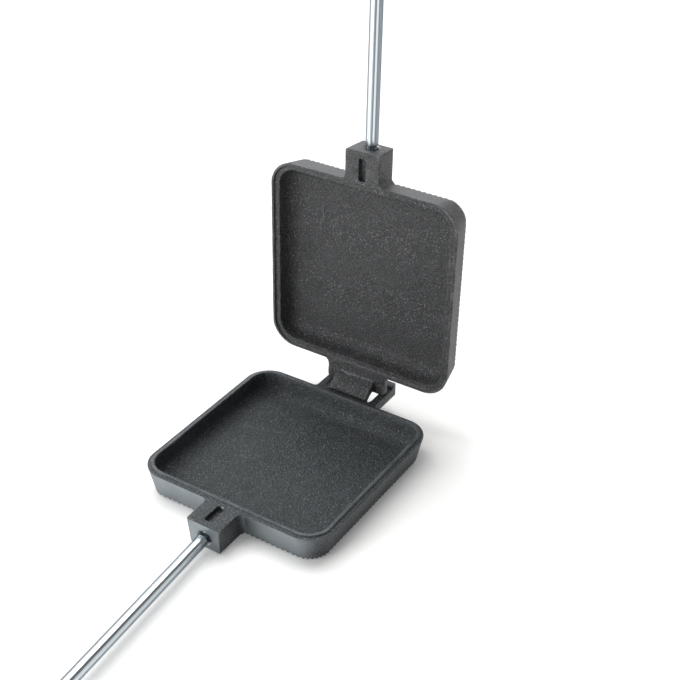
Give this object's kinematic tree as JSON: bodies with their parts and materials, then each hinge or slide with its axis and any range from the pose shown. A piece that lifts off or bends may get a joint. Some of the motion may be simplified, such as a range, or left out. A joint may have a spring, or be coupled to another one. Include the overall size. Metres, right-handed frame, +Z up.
{
  "type": "pie iron",
  "caption": "Square cast-iron toasting pans that hook together along one edge, with ribbed outer faces and long threaded steel rods in wooden grips, standing open.",
  "frame": {"origin": "middle of the lower pan's ribbed underside, which lies on the ground", "axes": "+Z up, rods leave towards -Y, hinge on the +Y side, +X across the pans"},
  "size_m": [0.108, 0.723, 0.7091],
  "materials": {
    "lower_pan": "seasoned sand casting, satin walls and pebbled hollow",
    "lower_rod": "bright zinc plate",
    "lower_grip": "turned hardwood, clear lacquer",
    "lower_ferrule": "drawn steel",
    "lower_grip_pin": "domed ends",
    "upper_pan": "seasoned sand casting, satin walls and pebbled hollow",
    "upper_rod": "bright zinc plate",
    "upper_grip": "turned hardwood, clear lacquer",
    "upper_ferrule": "drawn steel",
    "upper_grip_pin": "domed ends"
  },
  "bodies": {
    "lower_half": {"lower_pan": "lower_pan", "lower_rod": "lower_rod", "lower_grip": "lower_grip", "lower_ferrule": "lower_ferrule", "lower_grip_pin": "lower_grip_pin"},
    "upper_half": {"upper_pan": "upper_pan", "upper_rod": "upper_rod", "upper_grip": "upper_grip", "upper_ferrule": "upper_ferrule", "upper_grip_pin": "upper_grip_pin"}
  },
  "joints": [
    {"name": "pan_hinge", "type": "hinge", "parent": "lower_half", "child": "upper_half", "pos_m": [0, 0.065, 0.0149], "axis": [1, 0, 0], "range_deg": [0, 90.9]}
  ]
}
